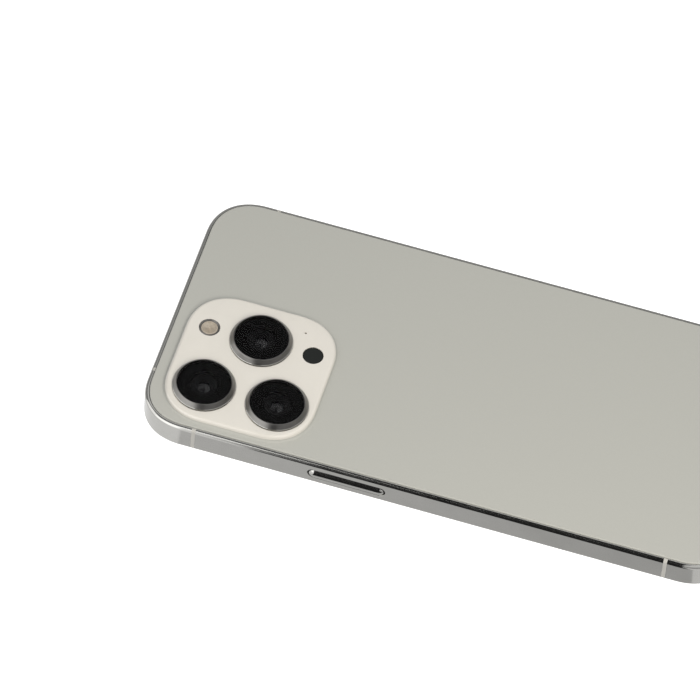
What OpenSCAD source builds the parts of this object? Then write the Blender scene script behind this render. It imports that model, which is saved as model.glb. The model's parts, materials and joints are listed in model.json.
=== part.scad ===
// Steel-framed handset with glass on both faces and a raised plateau with three cameras.
// Millimetres. It lies on its display: +Z points out of the back glass, and seen from
// the back with the cameras at the top, +X is right and +Y is up.
// The origin is the centre of the display face.

/* [Body] */
// Width across the flat sides of the frame
body_w = 71.5; // [68:0.1:82]
// Length from the bottom end to the top end
body_l = 146.7; // [144:0.1:165]
// Thickness from the display face to the back glass
body_t = 7.65; // [7.65:0.05:8.6]
// Radius of the four corners seen from the back
corner_r = 11.2; // [9:0.1:13]
// Thickness of the frame's wall
wall = 1.8; // [1.6:0.05:1.9]
// Bevel on the frame's outer edges
frame_bevel = 0.45; // [0.2:0.05:0.6]
// How far both glasses stand in from the frame's outer face
glass_inset = 1.1; // [1:0.05:1.4]
// Thickness of the back glass and depth of its seat
glass_t = 0.8; // [0.7:0.05:0.9]
// How far the frame stays below the back glass and above the display face
glass_proud = 0.3; // [0.1:0.05:0.4]

/* [Cameras] */
// Side of the square raised plateau
plateau_side = 37.3; // [37:0.1:40]
// Radius of the plateau's corners
plateau_r = 11; // [9:0.1:13]
// Height of the plateau above the back glass
plateau_h = 1.6; // [1:0.05:2]
// Plateau centre from the middle of the back, across
plateau_x = -14.1; // [-15:0.1:-14]
// Plateau centre from the middle of the back, along
plateau_y = 50.5; // [50:0.1:51]
// Middle of the camera group from the middle of the back, across
cameras_x = -14.6; // [-15:0.1:-14]
// Half the distance between the two camera columns
column_dx = 8.6; // [8.4:0.1:8.8]
// Half the distance between the two cameras of the outer column
row_dy = 9.1; // [9:0.1:9.4]
// Distance of the flash and the range sensor from the middle camera
small_dy = 13; // [12.6:0.1:13.2]
// Radius of a camera's cover glass
cover_r = 6.6; // [6.2:0.1:6.7]
// Outer radius of a camera's steel ring
ring_r = 7.6; // [7.5:0.05:7.9]
// Height of a camera's steel ring above the plateau
ring_h = 1.5; // [1.3:0.05:2.2]
// Radius of the flash window
flash_r = 2.2; // [1.8:0.1:2.3]
// Radius of the range sensor window
sensor_r = 2.5; // [2:0.1:2.6]
// Focus travel of a lens barrel
focus_travel = 0.3; // [0.1:0.05:0.4]

/* [Buttons] */
// Width of the buttons, seen from the side
button_w = 3; // [2.4:0.1:3.2]
// How far the buttons stand out of the frame
button_out = 0.5; // [0.2:0.05:0.6]
// Press travel of the buttons
press = 0.25; // [0.15:0.05:0.25]
// Length of the side button
side_button_l = 18.5; // [16:0.1:20]
// Place of the side button along the body
side_button_y = 20.1; // [18:0.1:22]
// Length of each volume button
volume_l = 10.8; // [9:0.1:12]
// Place of the volume up button along the body
volume_up_y = 37.5; // [36:0.1:40]
// Place of the volume down button along the body
volume_down_y = 24; // [21:0.1:25]
// Place of the ring and silent switch along the body
switch_y = 51.5; // [50:0.1:54]
// Travel of the ring and silent switch
switch_travel = 1.1; // [0.8:0.1:1.2]

/* [Openings] */
// Place of the card tray along the body
tray_y = 2.5; // [0:0.1:5]
// Length of the card tray's front
tray_front_l = 15; // [14.6:0.1:15.4]
// Width of the charging port's opening
port_w = 9.2; // [8.8:0.1:9.6]
// Height of the charging port's opening
port_h = 3.4; // [3:0.1:3.6]
// Radius of a loudspeaker hole
grille_r = 0.65; // [0.5:0.05:0.75]
// Distance between loudspeaker holes
grille_step = 2.2; // [1.8:0.1:2.4]
// Place of the antenna breaks from the middle of each side
antenna_y = 58.3; // [56:0.1:60]
// Width of an antenna break
antenna_w = 0.95; // [0.6:0.05:1.4]

/* [Hidden] */
$fn = 48;
gap = 0.1;
cut = 0.5;
half_w = body_w / 2;
half_l = body_l / 2;
mid_z = body_t / 2;
frame_z0 = glass_proud;
frame_z1 = body_t - glass_proud;
// Seats of the two glasses, and the ledges that carry them
seat_top = body_t - glass_t;
seat_low = 0.8;
ledge_in = 2.6;
ledge_top = seat_top - 0.55;
ledge_low = 1.6;
display_glass_t = 0.7;
panel_t = 0.75;
shield_t = 0.2;
shield_z = display_glass_t + panel_t + shield_t;
inside_z = 2;
plate_t = 0.35;
plate_z = ledge_top - plate_t;
plateau_z = body_t + plateau_h;
ring_z = plateau_z + ring_h;
cover_t = 0.7;
cover_z = ring_z - 0.1 - cover_t;
collar_r = cover_r + 0.2;
collar_bore_r = 5.7;
barrel_r = 4.3;
// Camera centres: the outer column's upper and lower ones, and the middle one
outer_x = cameras_x - column_dx;
inner_x = cameras_x + column_dx;
upper = [outer_x, plateau_y + row_dy];
lower = [outer_x, plateau_y - row_dy];
middle = [inner_x, plateau_y];
cameras = [upper, lower, middle];
flash_at = [inner_x, plateau_y + small_dy];
sensor_at = [inner_x, plateau_y - small_dy];
mic_at = [cameras_x + 14.5, plateau_y - 9.4];
mic_r = 0.28;
housing_side = 13.6;
housing_z1 = 5.6;
bracket_z = housing_z1 + 0.05;
bracket_t = 0.3;
// Buttons and their pockets in the frame
pocket_d = 1.1;
cap_in = half_w - pocket_d + press + 0.05;
stem_r = 0.5;
stem_in = half_w - wall - 0.3;
dome_x = stem_in - press - 0.05;
flex_t = 0.25;
dome_h = 0.25;
// Card tray: front, body, and the hole for the eject pin
tray_front_w = 1.9;
tray_t = 1.1;
tray_w = 14;
tray_l = 18;
card = [12.5, 9, 1];
eject_dy = 6.2;
eject_r = 0.4;
// Switch cap, its pocket as length, width and depth, and the window behind it
switch_cap_l = 5;
switch_cap_w = 1.5;
switch_cap_out = 0.25;
switch_pocket = [7, 3, 0.9];
switch_window = [1.3, 1.2];
// Ends of the body
hole_xs_left = [for (i = [0:5]) -11.6 - i * grille_step];
hole_xs_right = [for (i = [0:2]) 11.6 + i * grille_step];
bottom_screw_x = 7.4;
screw_head_r = 0.75;
screw_head_h = 0.85;
shank_r = 0.45;
shell_t = 0.25;
tongue = [6.6, 5.9, 0.7];
mesh_t = 0.15;
break_d = 1;
end_break_x = 21;
// Earpiece slot: length, width and place
ear_l = 11;
ear_w = 0.8;
ear_y = half_l - 2.3;
coil_z = ledge_top + 0.15;
board_x0 = 10;
board_x1 = 31;
board_y0 = -21;
board_y1 = 65;
board_t = 0.8;
stack_low = [board_x0 + 0.8, 14];
stack_high = [board_x1 - 0.8, 61.5];
interposer_t = 0.7;
upper_t = 0.7;
upper_z = inside_z + board_t + interposer_t;
board_shield_h = 1.2;
battery_z1 = plate_z - 0.2;
haptic_at = [20, -56.5];
haptic_box = [24, 9.6];
haptic_wall = 0.4;
mass_box = [16.4, 7.8, 2.3];
mass_z = 2.6;

// Rounded rectangle centred on the origin
module round_rect(w, l, r) {
  square([w - 2 * r, l], center = true);
  square([w, l - 2 * r], center = true);
  for (sx = [-1, 1], sy = [-1, 1])
    translate([sx * (w / 2 - r), sy * (l / 2 - r)]) circle(r);
}

// Plate with the body's outline, set in by a step, between two heights
module body_plate(inset, z0, z1) {
  translate([0, 0, z0]) linear_extrude(z1 - z0)
    round_rect(body_w - 2 * inset, body_l - 2 * inset, corner_r - inset);
}

// Plate with the plateau's outline, set in by a step, between two heights
module plateau_plate(inset, z0, z1) {
  side = plateau_side - 2 * inset;
  translate([plateau_x, plateau_y, z0]) linear_extrude(z1 - z0)
    round_rect(side, side, plateau_r - inset);
}

// Upright cylinder at a point [x, y], between two heights
module post(at, r, z0, z1) {
  translate([at[0], at[1], z0]) cylinder(h = z1 - z0, r = r);
}

// Block between two corners
module block(low, high) {
  translate(low) cube(high - low);
}

// Slot outline with round ends, long in Y
module slot_outline(l, w) {
  square([w, l - w], center = true);
  for (s = [-1, 1]) translate([0, s * (l - w) / 2]) circle(w / 2);
}

// Round-ended bar on a flat side: long in Y, from x0 to x1, at half thickness
module side_slot(y, l, w, x0, x1) {
  translate([x0, y, mid_z]) rotate([0, 90, 0]) linear_extrude(x1 - x0)
    slot_outline(l, w);
}

// Round-ended bar through the bottom end: long in X, from y0 to y1
module end_slot(l, w, y0, y1) {
  translate([0, y0, mid_z]) rotate([-90, 0, 0]) linear_extrude(y1 - y0)
    rotate(90) slot_outline(l, w);
}

// Cylinder along X at half thickness
module side_pin(y, r, x0, x1) {
  translate([x0, y, mid_z]) rotate([0, 90, 0]) cylinder(h = x1 - x0, r = r);
}

// Cylinder along Y at half thickness
module end_pin(x, r, y0, y1) {
  translate([x, y0, mid_z]) rotate([-90, 0, 0]) cylinder(h = y1 - y0, r = r);
}

// Triangular bead around the outline that bevels the frame's edge at one height
module edge_bead(z, up) {
  corner = [half_w - corner_r, half_l - corner_r];
  for (turn = [0, 180]) rotate(turn) {
    translate([half_w, corner[1], z]) rotate([90, 0, 0])
      linear_extrude(2 * corner[1]) bead_outline(up);
    translate([-corner[0], half_l, z]) rotate([90, 0, 90])
      linear_extrude(2 * corner[0]) bead_outline(up);
  }
  for (sx = [0, 1], sy = [0, 1]) mirror([sx, 0, 0]) mirror([0, sy, 0])
    translate([corner[0], corner[1], z]) rotate_extrude(angle = 90)
      translate([corner_r, 0]) bead_outline(up);
}
module bead_outline(up) {
  b = frame_bevel;
  polygon([[-b, 0], [0, 0], [0, -up * b]]);
}

// Pocket of a pressed button, with the bores of its two stems
module button_pocket(y, l) {
  side_slot(y, l + 2 * gap, button_w + 2 * gap, half_w - pocket_d, half_w + 1);
  for (s = [-1, 1])
    side_pin(y + s * l / 4, stem_r + gap, half_w - wall - 1, half_w);
}

// Openings in the +X side: volume buttons, ring switch and card tray
module right_side_openings() {
  button_pocket(volume_up_y, volume_l);
  button_pocket(volume_down_y, volume_l);
  side_slot(switch_y, switch_pocket[0], switch_pocket[1], half_w - switch_pocket[2],
    half_w + 1);
  block([half_w - wall - 1, switch_y - switch_window[0], mid_z - switch_window[1]],
    [half_w, switch_y + switch_window[0], mid_z + switch_window[1]]);
  side_slot(tray_y, tray_front_l + 2 * gap, tray_front_w + 2 * gap, half_w - pocket_d,
    half_w + 1);
  block([half_w - wall - 1, tray_y - tray_w / 2 - gap, mid_z - tray_t / 2 - gap],
    [half_w, tray_y + tray_w / 2 + gap, mid_z + tray_t / 2 + gap]);
}

// Openings in the bottom end: port, screws, loudspeaker and microphone holes
module bottom_openings() {
  end_slot(port_w, port_h, -half_l - 1, -half_l + wall + 1);
  for (s = [-1, 1]) {
    end_pin(s * bottom_screw_x, screw_head_r + 0.05, -half_l - 1, -half_l + 1);
    end_pin(s * bottom_screw_x, shank_r + gap, -half_l, -half_l + wall + 1);
  }
  for (x = concat(hole_xs_left, hole_xs_right))
    end_pin(x, grille_r, -half_l - 1, -half_l + wall + 1);
}

// Earpiece slot in the display glass and the ledge behind it
module earpiece_slot(w, l, z0, z1) {
  translate([0, ear_y, z0]) linear_extrude(z1 - z0) rotate(90) slot_outline(l, w);
}

// One antenna break, with the frame's bevels on its outer edges
module antenna_break() {
  b = frame_bevel;
  translate([0, antenna_w / 2, 0]) rotate([90, 0, 0]) linear_extrude(antenna_w)
    polygon([[-break_d, frame_z0], [-b, frame_z0], [0, frame_z0 + b],
      [0, frame_z1 - b], [-b, frame_z1], [-break_d, frame_z1]]);
}

// The breaks: two on each long side, one on each end
module all_breaks() {
  for (sx = [-1, 1], sy = [-1, 1])
    translate([sx * half_w, sy * antenna_y, 0]) rotate(90 - sx * 90) antenna_break();
  for (s = [-1, 1])
    translate([-s * end_break_x, s * half_l, 0]) rotate(s * 90) antenna_break();
}

module frame_band() {
  color("silver") difference() {
    body_plate(0, frame_z0, frame_z1);
    edge_bead(frame_z1, 1);
    edge_bead(frame_z0, -1);
    body_plate(ledge_in, frame_z0 - 1, frame_z1 + 1);
    body_plate(wall, ledge_low, ledge_top);
    body_plate(glass_inset - 0.05, seat_top, frame_z1 + 1);
    body_plate(glass_inset - 0.05, frame_z0 - 1, seat_low);
    mirror([1, 0, 0]) button_pocket(side_button_y, side_button_l);
    right_side_openings();
    bottom_openings();
    earpiece_slot(ear_w, ear_l, 0, ledge_low + cut);
    all_breaks();
  }
}

module antenna_breaks() {
  color("lightgray") all_breaks();
}

module back_glass() {
  color("gainsboro") difference() {
    union() {
      body_plate(glass_inset, seat_top, body_t);
      plateau_plate(0, body_t - cut, plateau_z);
    }
    for (c = cameras) post(c, collar_r + 0.05, seat_top - 1, plateau_z + 1);
    post(flash_at, flash_r + 0.05, seat_top - 1, plateau_z + 1);
    post(sensor_at, sensor_r + 0.05, seat_top - 1, plateau_z + 1);
    post(mic_at, mic_r, seat_top - 1, plateau_z + 1);
  }
}

module lens_ring(at) {
  edge = 0.45;
  color("dimgray") translate([at[0], at[1], 0]) rotate_extrude()
    polygon([[collar_bore_r, seat_top], [collar_r, seat_top], [collar_r, plateau_z],
      [ring_r, plateau_z], [ring_r, ring_z - edge], [ring_r - edge, ring_z],
      [cover_r + 0.05, ring_z], [cover_r + 0.05, cover_z], [collar_bore_r, cover_z]]);
}

module lens_cover(at) {
  color("black") post(at, cover_r, cover_z, cover_z + cover_t);
}

module flash_cover() {
  color("wheat") post(flash_at, flash_r, plateau_z - 1, plateau_z - 0.15);
}

module range_sensor_cover() {
  color("darkslategray") post(sensor_at, sensor_r, plateau_z - 0.9, plateau_z - 0.05);
}

module rear_mic_mesh() {
  color("black") post(mic_at, mic_r - 0.02, plateau_z - 1, plateau_z - 0.8);
}

module display_glass() {
  color("black") difference() {
    body_plate(glass_inset, 0, display_glass_t);
    earpiece_slot(ear_w, ear_l, -1, display_glass_t + 1);
  }
}

module display_gasket() {
  color("darkslategray") difference() {
    body_plate(glass_inset + 0.15, display_glass_t, seat_low);
    body_plate(ledge_in - 0.1, 0, seat_low + 1);
    earpiece_slot(ear_w, ear_l, 0, seat_low + 1);
  }
}

module display_panel() {
  color("midnightblue")
    body_plate(ledge_in + gap, display_glass_t, display_glass_t + panel_t);
}

module display_shield() {
  color("slategray")
    body_plate(ledge_in + 0.4, display_glass_t + panel_t, shield_z);
}

// Pressed button on the +X side: a round-ended cap with two stems
module pressed_button(y, l) {
  side_slot(y, l, button_w, cap_in, half_w + button_out);
  for (s = [-1, 1]) side_pin(y + s * l / 4, stem_r, stem_in, cap_in + cut);
}

module side_button() {
  color("silver") mirror([1, 0, 0]) pressed_button(side_button_y, side_button_l);
}

module volume_up_button() {
  color("silver") pressed_button(volume_up_y, volume_l);
}

module volume_down_button() {
  color("silver") pressed_button(volume_down_y, volume_l);
}

// The switch rests towards the display and slides towards the back
module ring_switch() {
  z = mid_z - switch_travel / 2;
  color("silver") {
    block([half_w - 0.8, switch_y - switch_cap_l / 2, z - switch_cap_w / 2],
      [half_w + switch_cap_out, switch_y + switch_cap_l / 2, z + switch_cap_w / 2]);
    block([half_w - wall - 0.7, switch_y - 1, z - 0.5],
      [half_w - 0.5, switch_y + 1, z + 0.5]);
  }
}

module sim_tray() {
  front_x = half_w - 1;
  color("silver") difference() {
    union() {
      side_slot(tray_y, tray_front_l, tray_front_w, front_x, half_w);
      block([front_x - tray_l, tray_y - tray_w / 2, mid_z - tray_t / 2],
        [front_x + cut, tray_y + tray_w / 2, mid_z + tray_t / 2]);
    }
    translate([front_x - tray_l / 2 - 1, tray_y, mid_z - 1])
      linear_extrude(2) round_rect(card[0], card[1], card[2]);
    side_pin(tray_y - eject_dy, eject_r, front_x - 1, half_w + 1);
  }
}

module bottom_screws() {
  color("silver") for (s = [-1, 1]) {
    end_pin(s * bottom_screw_x, screw_head_r, -half_l + gap, -half_l + gap + screw_head_h);
    end_pin(s * bottom_screw_x, shank_r, -half_l + 0.9, -half_l + wall + 1.2);
  }
}

module charge_port_shell() {
  color("silver") difference() {
    end_slot(port_w - 2 * gap, port_h - 2 * gap, -half_l + 0.4, -half_l + 7.8);
    end_slot(port_w - 2 * gap - 2 * shell_t, port_h - 2 * gap - 2 * shell_t, -half_l,
      -half_l + 7.3);
  }
}

module charge_port_tongue() {
  y1 = -half_l + 7.3;
  color("black") block([-tongue[0] / 2, y1 - tongue[1], mid_z - tongue[2] / 2],
    [tongue[0] / 2, y1, mid_z + tongue[2] / 2]);
}

module grille_meshes() {
  y = -half_l + wall;
  color("dimgray") {
    block([-24, y, mid_z - 1], [-10.5, y + mesh_t, mid_z + 1]);
    block([10.5, y, mid_z - 1], [17.1, y + mesh_t, mid_z + 1]);
  }
}

module earpiece_mesh() {
  color("dimgray") earpiece_slot(ear_w - 0.06, ear_l - gap, 0.25, 0.4);
}

module chassis_plate() {
  color("lightsteelblue") difference() {
    body_plate(wall + 0.05, plate_z, ledge_top);
    plateau_plate(1.6, plate_z - 1, ledge_top + 1);
  }
}

// Flat coil of concentric turns under the back glass
module charging_coil() {
  turns = 8;
  pitch = 1.4;
  inner_r = 11;
  color("peru") for (i = [0:turns - 1]) translate([0, 0, coil_z]) difference() {
    cylinder(h = 0.3, r = inner_r + i * pitch + 1.1);
    translate([0, 0, -1]) cylinder(h = 3, r = inner_r + i * pitch);
  }
}

module coil_shield() {
  color("gray") post([0, 0], 28, ledge_top, coil_z);
}

module magnet_ring() {
  count = 18;
  color("silver") for (i = [0:count - 1]) rotate(i * 360 / count)
    translate([0, 0, coil_z]) rotate_extrude(angle = 360 / count - 1)
      translate([23.4, 0]) square([4, 0.3]);
}

// Cell with a foot across the body, so seen from the back it is an L
module battery() {
  color("darkslategray") translate([0, 0, inside_z]) linear_extrude(battery_z1 - inside_z) {
    translate([-12.3, -6.5]) round_rect(41, 71, 1.5);
    translate([0, -33]) round_rect(65.6, 18, 1.5);
  }
}

module battery_adhesive() {
  color("whitesmoke") for (x = [-28, -12, 3])
    block([x - 4, -38, battery_z1], [x + 4, 25, plate_z]);
}

module board_plate(inset, z0, z1) {
  block([board_x0 + inset, board_y0 + inset, z0], [board_x1 - inset, board_y1 - inset, z1]);
}

// Screw places in the corners of the logic board
module at_board_screws() {
  for (x = [board_x0 + 1.4, board_x1 - 1.4], y = [board_y0 + 1.4, board_y1 - 1.4])
    translate([x, y, 0]) children();
}

module logic_board() {
  color("darkgreen") difference() {
    board_plate(0, inside_z, inside_z + board_t);
    at_board_screws() translate([0, 0, inside_z - 1]) cylinder(h = 3, r = 0.65);
  }
}

module board_screws() {
  color("silver") at_board_screws() {
    translate([0, 0, shield_z + 0.05]) cylinder(h = inside_z - shield_z - 0.05, r = 1.1);
    translate([0, 0, inside_z]) cylinder(h = plate_z - inside_z, r = 0.55);
  }
}

// Block over the upper part of the logic board, set in by a step
module stack_block(inset, z0, z1) {
  block([stack_low[0] + inset, stack_low[1] + inset, z0],
    [stack_high[0] - inset, stack_high[1] - inset, z1]);
}

module board_interposer() {
  z = inside_z + board_t;
  color("darkolivegreen") difference() {
    stack_block(0, z, upper_z);
    stack_block(1.2, z - 1, z + 2);
  }
}

module upper_board() {
  color("green") stack_block(0, upper_z, upper_z + upper_t);
}

module board_shield() {
  z = upper_z + upper_t;
  color("gainsboro") difference() {
    stack_block(0.5, z, z + board_shield_h);
    stack_block(0.5 + shield_t, z - 1, z + board_shield_h - shield_t);
  }
}

module sim_reader() {
  x1 = half_w - wall - 0.3;
  x0 = half_w - 1 - tray_l - 1.8;
  low = [x0, tray_y - tray_w / 2 - 0.7, inside_z + board_t];
  high = [x1, tray_y + tray_w / 2 + 0.7, mid_z + tray_t / 2 + 0.5];
  color("gainsboro") difference() {
    block(low, high);
    block([x0 + 1, tray_y - tray_w / 2 - 0.2, mid_z - tray_t / 2 - 0.2],
      [x1 + 1, tray_y + tray_w / 2 + 0.2, mid_z + tray_t / 2 + 0.2]);
  }
}

// Flex strip on two feet, with a dome switch under each stem
module button_flex(y, l) {
  block([dome_x - dome_h - flex_t, y - l / 2 - 1.5, mid_z - 1.2],
    [dome_x - dome_h, y + l / 2 + 1.5, mid_z + 1.2]);
  for (s = [-1, 1]) {
    side_pin(y + s * l / 4, 0.9, dome_x - dome_h - 0.1, dome_x);
    translate([0, y + s * (l / 2 + 0.9), 0])
      block([dome_x - dome_h - 0.1, -0.6, mid_z - 1.2], [half_w - wall, 0.6, mid_z + 1.2]);
  }
}

module side_button_flex() {
  color("orange") mirror([1, 0, 0]) button_flex(side_button_y, side_button_l);
}

module volume_flex() {
  color("orange") {
    button_flex(volume_up_y, volume_l);
    button_flex(volume_down_y, volume_l);
  }
}

module ring_switch_block() {
  x1 = half_w - wall;
  color("dimgray") difference() {
    block([x1 - 2.2, switch_y - 3.2, mid_z - 1.9], [x1, switch_y + 3.2, mid_z + 1.9]);
    block([x1 - 1, switch_y - 1.2, mid_z - 1.3], [x1 + 1, switch_y + 1.2, mid_z + 1.3]);
  }
}

module haptic_case() {
  half = haptic_box / 2;
  z1 = 5.3;
  w = haptic_wall;
  color("silver") translate([haptic_at[0], haptic_at[1], 0]) difference() {
    block([-half[0], -half[1], inside_z], [half[0], half[1], z1]);
    block([w - half[0], w - half[1], inside_z + w], [half[0] - w, half[1] - w, z1 - w]);
  }
}

module haptic_mass() {
  color("dimgray") translate([haptic_at[0], haptic_at[1], mass_z + mass_box[2] / 2 - 0.1])
    cube(mass_box, center = true);
}

// Two folded leaf springs, one at each end of the haptic mass
module haptic_springs() {
  z0 = mass_z + 0.2;
  x0 = mass_box[0] / 2 + 0.6;
  x1 = haptic_box[0] / 2 - haptic_wall;
  color("silver") translate([haptic_at[0], haptic_at[1], 0]) for (s = [0, 1])
    mirror([s, 0, 0]) {
      block([x1 - 0.15, -3.2, z0], [x1, 3.2, z0 + 1.6]);
      block([x0, -3.2, z0], [x1, -3.05, z0 + 1.6]);
      block([x0, -3.2, z0], [x0 + 0.15, 3.2, z0 + 1.6]);
    }
}

module loudspeaker() {
  color("dimgray") difference() {
    block([-31, -66, inside_z], [-8.5, -44.5, 5.4]);
    block([-30, -65, inside_z + 1], [-9.5, -45.5, 4.4]);
    translate([-20, -67, mid_z - 1]) cube([7, 2.5, 2]);
  }
}

module earpiece() {
  color("dimgray") block([-6, 67.9, inside_z], [6, 71.3, 4.8]);
}

module front_camera() {
  color("black") {
    block([9, 66.6, inside_z + 0.8], [15, 71.2, 5.4]);
    post([12, 68.9], 1.6, shield_z + 0.1, inside_z + 0.9);
  }
}

module face_sensor() {
  color("darkslateblue") block([-20, 68.2, inside_z], [-8, 71.2, 4.4]);
}

module camera_bracket() {
  low = lower - [housing_side / 2 + 0.6, housing_side / 2 + 0.6];
  high = [middle[0], upper[1]] + [housing_side / 2 + 0.6, housing_side / 2 + 0.6];
  color("silver") difference() {
    block([low[0], low[1], bracket_z], [high[0], high[1], bracket_z + bracket_t]);
    for (c = cameras) post(c, barrel_r + 0.5, bracket_z - 1, bracket_z + 2);
    post(sensor_at, 2.6, bracket_z - 1, bracket_z + 2);
    post(flash_at, 2.4, bracket_z - 1, bracket_z + 2);
    post(mic_at, 0.8, bracket_z - 1, bracket_z + 2);
  }
}

// Camera housing, square with a round well for the moving lens barrel
module camera_housing(at) {
  h = housing_side / 2;
  color("black") difference() {
    block([at[0] - h, at[1] - h, inside_z], [at[0] + h, at[1] + h, housing_z1]);
    post(at, barrel_r + 0.3, inside_z + 0.8, housing_z1 + 1);
  }
}

// Lens barrel that focuses along Z, with a front element of smaller radius
module lens_barrel(at) {
  z0 = inside_z + 1;
  color("black") {
    post(at, barrel_r, z0, plateau_z - 0.6);
    post(at, barrel_r - 1, plateau_z - 0.7, cover_z - focus_travel - 0.3);
  }
}

module range_sensor() {
  color("black") {
    translate([sensor_at[0], sensor_at[1], inside_z + 1.5]) cube([5.4, 4.8, 3], center = true);
    post(sensor_at, 2.2, inside_z + 2.9, plateau_z - 1.1);
  }
}

module flash_led() {
  color("gold") {
    translate([flash_at[0], flash_at[1], bracket_z - 0.4]) cube([4.4, 4.4, 0.6], center = true);
    post(flash_at, 1.9, bracket_z - 0.2, plateau_z - 1.3);
  }
}

module charge_flex() {
  z = shield_z + 0.1;
  color("orange") {
    block([-4, -66.5, z], [19, -62.5, z + 0.15]);
    block([14, -63, z], [19, -18, z + 0.15]);
  }
}

module display_cable() {
  z = shield_z;
  color("orange") block([22, -8, z], [29, 10, z + 0.2]);
}

frame_band();
antenna_breaks();
back_glass();
lens_ring(upper);  // lens_ring_upper
lens_ring(lower);  // lens_ring_lower
lens_ring(middle);  // lens_ring_middle
lens_cover(upper);  // lens_cover_upper
lens_cover(lower);  // lens_cover_lower
lens_cover(middle);  // lens_cover_middle
flash_cover();
range_sensor_cover();
rear_mic_mesh();
display_glass();
display_gasket();
display_panel();
display_shield();
side_button();
volume_up_button();
volume_down_button();
ring_switch();
sim_tray();
bottom_screws();
charge_port_shell();
charge_port_tongue();
grille_meshes();
earpiece_mesh();
chassis_plate();
charging_coil();
coil_shield();
magnet_ring();
battery();
battery_adhesive();
logic_board();
upper_board();
board_interposer();
board_shield();
board_screws();
sim_reader();
side_button_flex();
volume_flex();
ring_switch_block();
haptic_case();
haptic_mass();
haptic_springs();
loudspeaker();
earpiece();
front_camera();
face_sensor();
camera_bracket();
camera_housing(upper);  // camera_upper
camera_housing(lower);  // camera_lower
camera_housing(middle);  // camera_middle
lens_barrel(upper);  // lens_barrel_upper
lens_barrel(lower);  // lens_barrel_lower
lens_barrel(middle);  // lens_barrel_middle
range_sensor();
flash_led();
charge_flex();
display_cable();
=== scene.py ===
"""The handset's looks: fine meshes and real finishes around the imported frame, in metres."""
import json
from math import asin, cos, degrees, pi, radians, sin, sqrt

import bmesh
import bpy
from mathutils import Matrix, Vector


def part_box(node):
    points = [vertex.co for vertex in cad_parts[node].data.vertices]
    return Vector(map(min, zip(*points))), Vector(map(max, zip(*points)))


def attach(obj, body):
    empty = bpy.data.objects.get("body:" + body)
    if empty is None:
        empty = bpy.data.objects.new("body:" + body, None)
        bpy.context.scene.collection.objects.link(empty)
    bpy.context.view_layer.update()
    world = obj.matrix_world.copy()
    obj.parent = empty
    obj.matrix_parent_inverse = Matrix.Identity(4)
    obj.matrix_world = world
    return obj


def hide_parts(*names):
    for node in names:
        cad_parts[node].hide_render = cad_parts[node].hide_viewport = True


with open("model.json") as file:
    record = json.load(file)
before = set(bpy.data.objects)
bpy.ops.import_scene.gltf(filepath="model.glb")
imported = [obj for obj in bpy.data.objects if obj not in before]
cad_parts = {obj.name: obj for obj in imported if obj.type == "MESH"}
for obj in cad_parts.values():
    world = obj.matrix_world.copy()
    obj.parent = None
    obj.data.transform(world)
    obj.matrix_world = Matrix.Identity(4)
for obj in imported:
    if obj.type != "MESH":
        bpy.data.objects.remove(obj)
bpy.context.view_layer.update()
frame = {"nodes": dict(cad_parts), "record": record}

MM = 0.001
HANDSET = "handset"

# ---------------------------------------------------------------- sizes from the frame
FRAME_LOW, FRAME_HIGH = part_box("frame_band")
GLASS_LOW, GLASS_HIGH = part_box("back_glass")
DISPLAY_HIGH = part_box("display_glass")[1]
SHELF_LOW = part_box("chassis_plate")[0]
HALF_W = FRAME_HIGH.x
HALF_L = FRAME_HIGH.y
BODY_T = FRAME_HIGH.z + FRAME_LOW.z
MID_Z = BODY_T / 2
PLATEAU_Z = GLASS_HIGH.z
GLASS_INSET = HALF_W - GLASS_HIGH.x
SEAT_Z = GLASS_LOW.z


def centre_of(node):
    low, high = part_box(node)
    return (low + high) / 2


CAMERAS = {name: centre_of("lens_ring_" + name) for name in ("upper", "lower", "middle")}
FLASH = centre_of("flash_cover")
SENSOR = centre_of("range_sensor_cover")
MICROPHONE = centre_of("rear_mic_mesh")

# Body corners: how far along each side a corner reaches, and the power of its curve,
# where 2 is a plain circle and more is squarer
CORNER_REACH = 12.23 * MM
CORNER_POWER = 2.26
CORNER_STEPS = 28

# The band and its glass: edge radii, wall, seats for the two glasses, and the gap round them
FRAME_EDGE_R = 0.88 * MM
WALL = 1.8 * MM
LEDGE_IN = 2.6 * MM
SHELF_T = SEAT_Z - SHELF_LOW.z - 0.55 * MM
GLASS_EDGE_R = 0.3 * MM
GLASS_GAP = 0.12 * MM
DISPLAY_EDGE_R = 0.45 * MM

# The plateau: half its sides, its corner's reach and power, and the curves at its foot and top
PLATEAU_HALF_X = 18.98 * MM
PLATEAU_HALF_Y = 18.55 * MM
PLATEAU = Vector(((CAMERAS["upper"].x + CAMERAS["middle"].x) / 2 + 0.5 * MM,
                  CAMERAS["middle"].y + 0.15 * MM, 0))
PLATEAU_REACH = 11.9 * MM
PLATEAU_POWER = 2.3
FLARE_R = 0.75 * MM
SHOULDER_R = 0.85 * MM

# Cameras, flash, sensor and microphone. A barrel's mouth steps inwards and down to its lens
COVER_R = 6.55 * MM
RING_R = 7.6 * MM
RING_LIP = 0.34 * MM
RING_FOOT_H = 0.38 * MM
RING_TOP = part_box("lens_ring_middle")[1].z
COLLAR_R = 6.8 * MM
COLLAR_BORE_R = 5.7 * MM
WINDOW_R = 3.5 * MM
STEP_IN = 0.22 * MM
STEP_DOWN = 0.12 * MM
LENS_R = 1.75 * MM
LENS_BALL_R = 3.4 * MM
FLASH_R = 2.05 * MM
FLASH_BEZEL_R = 2.5 * MM
FLASH_GROOVE = 0.17 * MM
SENSOR_R = 2.42 * MM
MICROPHONE_R = 0.28 * MM

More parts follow.
